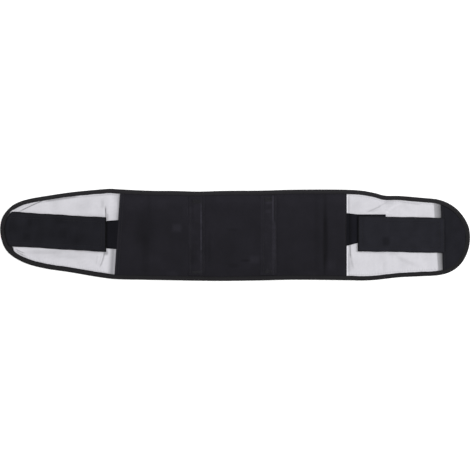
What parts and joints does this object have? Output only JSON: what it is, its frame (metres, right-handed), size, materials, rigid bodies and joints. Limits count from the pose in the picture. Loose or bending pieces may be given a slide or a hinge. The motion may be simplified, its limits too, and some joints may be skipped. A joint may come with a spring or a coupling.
{
  "type": "lumbar support belt",
  "caption": "Wide fabric back-support belt laid flat: padded dark centre panel with sewn-in stays, light mesh wings, bound edge, and elastic straps ending in fastening tabs.",
  "frame": {"origin": "centre of the belt's outline on the surface that it lies on", "axes": "+X along the belt towards the end with the dark end patch, +Y up the height that is worn upright, +Z out of the outer face"},
  "size_m": [1.0398, 0.2029, 0.0081],
  "materials": {
    "panel_fabric": "black brushed knit laminated on foam, matt",
    "casing_fabric": "black brushed knit strip, matt",
    "mesh_fabric": "light lilac-grey warp-knit mesh, matt",
    "binding_tape": "black woven binding tape, slight sheen",
    "strap_elastic": "black ribbed elastic, matt",
    "tab_fabric": "black brushed loop fabric, matt",
    "patch_fabric": "black brushed loop fabric, matt"
  },
  "bodies": {
    "root": {"back_panel": "panel_fabric", "stay_casing_left": "casing_fabric", "stay_casing_right": "casing_fabric", "left_wing": "mesh_fabric", "right_wing": "mesh_fabric", "edge_binding": "binding_tape", "left_strap": "strap_elastic", "right_strap": "strap_elastic", "left_tab": "tab_fabric", "right_tab": "tab_fabric", "right_end_patch": "patch_fabric"}
  },
  "joints": []
}
